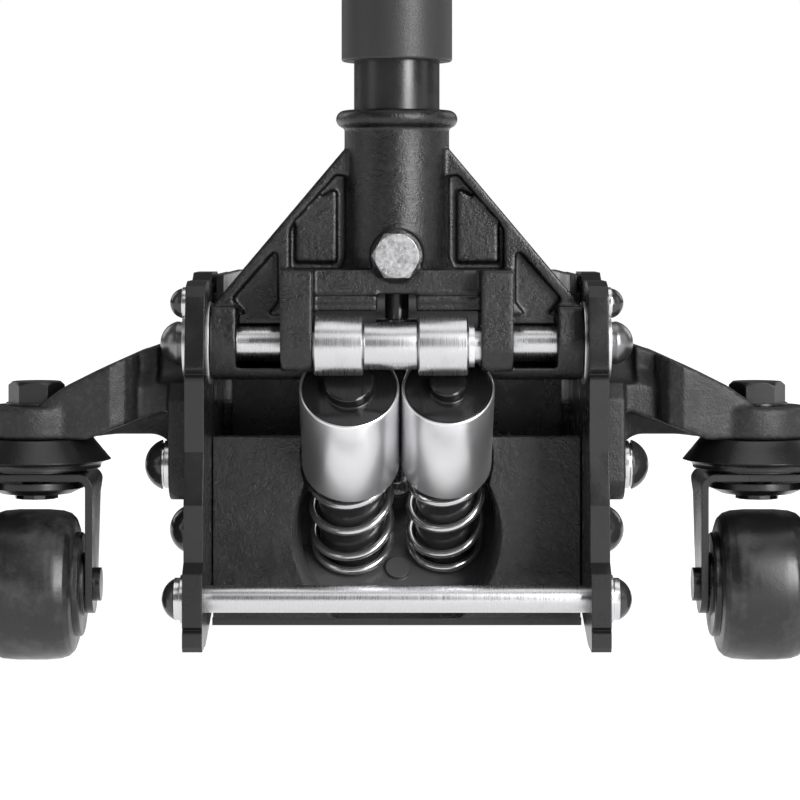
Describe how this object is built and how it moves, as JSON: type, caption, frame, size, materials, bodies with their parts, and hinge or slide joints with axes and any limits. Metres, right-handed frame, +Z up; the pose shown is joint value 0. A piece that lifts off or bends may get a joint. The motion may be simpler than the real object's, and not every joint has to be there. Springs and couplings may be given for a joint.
{
  "type": "hydraulic trolley jack",
  "caption": "Low trolley jack with a twin-plunger pump worked by an upright tubular handle, a hinged lift arm with a level saddle, rear swivel casters and fixed front wheels.",
  "frame": {"origin": "on the floor, under the middle of the overall box, with the arm lowered and the handle upright", "axes": "+Z up along the upright handle, +Y forward to the saddle and front wheels, +X across to the right when seen from the handle end"},
  "size_m": [0.3632, 0.69, 1.16],
  "materials": {
    "black_paint": "satin powder coat",
    "cast_black": "painted casting, slightly rough",
    "ground_steel": "ground and nickel plated",
    "chrome": "satin to bright plating",
    "dark_steel": "black-chromed or oiled steel",
    "spring_steel": "bright drawn wire",
    "foam": "matt foam rubber",
    "grip_rubber": "matt moulded rubber",
    "wheel_plastic": "moulded nylon, slightly mottled"
  },
  "bodies": {
    "frame": {"left_side_plate": "black_paint", "right_side_plate": "black_paint", "power_unit_block": "cast_black", "pump_barrels": "dark_steel", "release_valve_gland": "ground_steel", "reservoir": "cast_black", "filler_plug": "chrome", "cylinder_gland": "ground_steel", "base_plate": "black_paint", "cross_bars": "dark_steel", "rear_tie_rod": "ground_steel", "tie_rod_nuts": "dark_steel", "left_caster_arm": "cast_black", "right_caster_arm": "cast_black", "caster_arm_bolts": "dark_steel", "frame_screws": "dark_steel", "handle_pivot_bolts": "ground_steel", "pivot_washers": "chrome", "arm_pivot_shaft": "ground_steel", "front_axle": "ground_steel", "axle_nuts": "dark_steel", "levelling_rod_pins": "ground_steel", "caster_races": "black_paint", "caster_kingpins": "black_paint", "left_pump_spring": "spring_steel", "right_pump_spring": "spring_steel", "return_springs": "spring_steel"},
    "yoke": {"handle_yoke": "cast_black", "roller_shaft": "ground_steel", "roller_spacer": "ground_steel", "shaft_clip": "chrome", "lock_bolt": "chrome"},
    "left_pump_roller": {"left_roller": "ground_steel"},
    "right_pump_roller": {"right_roller": "ground_steel"},
    "handle": {"handle_lower_tube": "black_paint", "bumper_sleeve": "foam", "handle_upper_tube": "black_paint", "handle_grip": "grip_rubber", "handle_end_cap": "grip_rubber", "release_drive": "dark_steel"},
    "button": {"snap_button": "chrome"},
    "release_stem": {"release_valve_stem": "dark_steel"},
    "left_pump": {"left_plunger": "dark_steel", "left_spring_cover": "chrome"},
    "right_pump": {"right_plunger": "dark_steel", "right_spring_cover": "chrome"},
    "ram": {"ram_rod": "chrome", "crosshead": "dark_steel"},
    "arm": {"lift_arm": "black_paint", "lift_arm_pins": "ground_steel"},
    "levelling": {"levelling_rods": "dark_steel"},
    "bracket": {"saddle_bracket": "cast_black"},
    "saddle_head": {"saddle": "dark_steel", "saddle_pad": "grip_rubber"},
    "left_fork": {"left_caster_fork": "black_paint"},
    "right_fork": {"right_caster_fork": "black_paint"},
    "left_rear_wheel": {"left_caster_wheel": "wheel_plastic"},
    "right_rear_wheel": {"right_caster_wheel": "wheel_plastic"},
    "left_fore_wheel": {"left_front_wheel": "wheel_plastic"},
    "right_fore_wheel": {"right_front_wheel": "wheel_plastic"}
  },
  "joints": [
    {"name": "handle_swing", "type": "hinge", "parent": "frame", "child": "yoke", "pos_m": [0, -0.3, 0.131], "axis": [1, 0, 0], "range_deg": [0, 70], "stiffness_Nm_per_rad": 8, "springref_deg": -57.3},
    {"name": "handle_twist", "type": "hinge", "parent": "yoke", "child": "handle", "pos_m": [0, -0.3, 0.1675], "axis": [0, 0, 1], "range_deg": [0, 180]},
    {"name": "button_press", "type": "slide", "parent": "handle", "child": "button", "axis": [0, 1, 0], "range_m": [0, 0.005], "stiffness_N_per_m": 900, "springref_m": -0.002},
    {"name": "release_turn", "type": "hinge", "parent": "frame", "child": "release_stem", "pos_m": [0, -0.3, 0.131], "axis": [0, -0.766, 0.6428], "range_deg": [0, 180]},
    {"name": "left_roller_spin", "type": "hinge", "parent": "yoke", "child": "left_pump_roller", "pos_m": [-0.0236, -0.33, 0.131], "axis": [1, 0, 0], "continuous": true},
    {"name": "right_roller_spin", "type": "hinge", "parent": "yoke", "child": "right_pump_roller", "pos_m": [0.0187, -0.33, 0.131], "axis": [1, 0, 0], "continuous": true},
    {"name": "left_plunger_stroke", "type": "slide", "parent": "frame", "child": "left_pump", "axis": [0, 0.766, -0.6428], "range_m": [0, 0.0333], "deforming": ["left_pump_spring"]},
    {"name": "right_plunger_stroke", "type": "slide", "parent": "frame", "child": "right_pump", "axis": [0, 0.766, -0.6428], "range_m": [0, 0.0333], "deforming": ["right_pump_spring"]},
    {"name": "arm_lift", "type": "hinge", "parent": "frame", "child": "arm", "pos_m": [0, -0.083, 0.128], "axis": [1, 0, 0], "range_deg": [0, 68]},
    {"name": "ram_stroke", "type": "slide", "parent": "frame", "child": "ram", "axis": [0, 1, 0], "range_m": [0, 0.06283], "deforming": ["return_springs"]},
    {"name": "levelling_swing", "type": "hinge", "parent": "frame", "child": "levelling", "pos_m": [0, -0.069, 0.108], "axis": [1, 0, 0], "range_deg": [0, 68]},
    {"name": "saddle_level", "type": "hinge", "parent": "arm", "child": "bracket", "pos_m": [0, 0.26109, 0.07596], "axis": [1, 0, 0], "range_deg": [-68, 0]},
    {"name": "saddle_spin", "type": "hinge", "parent": "bracket", "child": "saddle_head", "pos_m": [0, 0.26109, 0.09596], "axis": [0, 0, 1], "continuous": true},
    {"name": "left_caster_swivel", "type": "hinge", "parent": "frame", "child": "left_fork", "pos_m": [-0.1506, -0.295, 0.075], "axis": [0, 0, 1], "continuous": true},
    {"name": "right_caster_swivel", "type": "hinge", "parent": "frame", "child": "right_fork", "pos_m": [0.1506, -0.295, 0.075], "axis": [0, 0, 1], "continuous": true},
    {"name": "left_caster_roll", "type": "hinge", "parent": "left_fork", "child": "left_rear_wheel", "pos_m": [-0.1506, -0.303, 0.031], "axis": [1, 0, 0], "continuous": true},
    {"name": "right_caster_roll", "type": "hinge", "parent": "right_fork", "child": "right_rear_wheel", "pos_m": [0.1506, -0.303, 0.031], "axis": [1, 0, 0], "continuous": true},
    {"name": "left_front_roll", "type": "hinge", "parent": "frame", "child": "left_fore_wheel", "pos_m": [-0.108, 0.305, 0.04], "axis": [1, 0, 0], "continuous": true},
    {"name": "right_front_roll", "type": "hinge", "parent": "frame", "child": "right_fore_wheel", "pos_m": [0.108, 0.305, 0.04], "axis": [1, 0, 0], "continuous": true}
  ],
  "couplings": [
    {"joint": "left_plunger_stroke", "follows": "handle_swing", "m_per_rad": 0.027209},
    {"joint": "right_plunger_stroke", "follows": "handle_swing", "m_per_rad": 0.027209},
    {"joint": "release_turn", "follows": "handle_twist", "ratio": 1},
    {"joint": "ram_stroke", "follows": "arm_lift", "m_per_rad": 0.052771},
    {"joint": "levelling_swing", "follows": "arm_lift", "ratio": 1},
    {"joint": "saddle_level", "follows": "arm_lift", "ratio": -1}
  ]
}
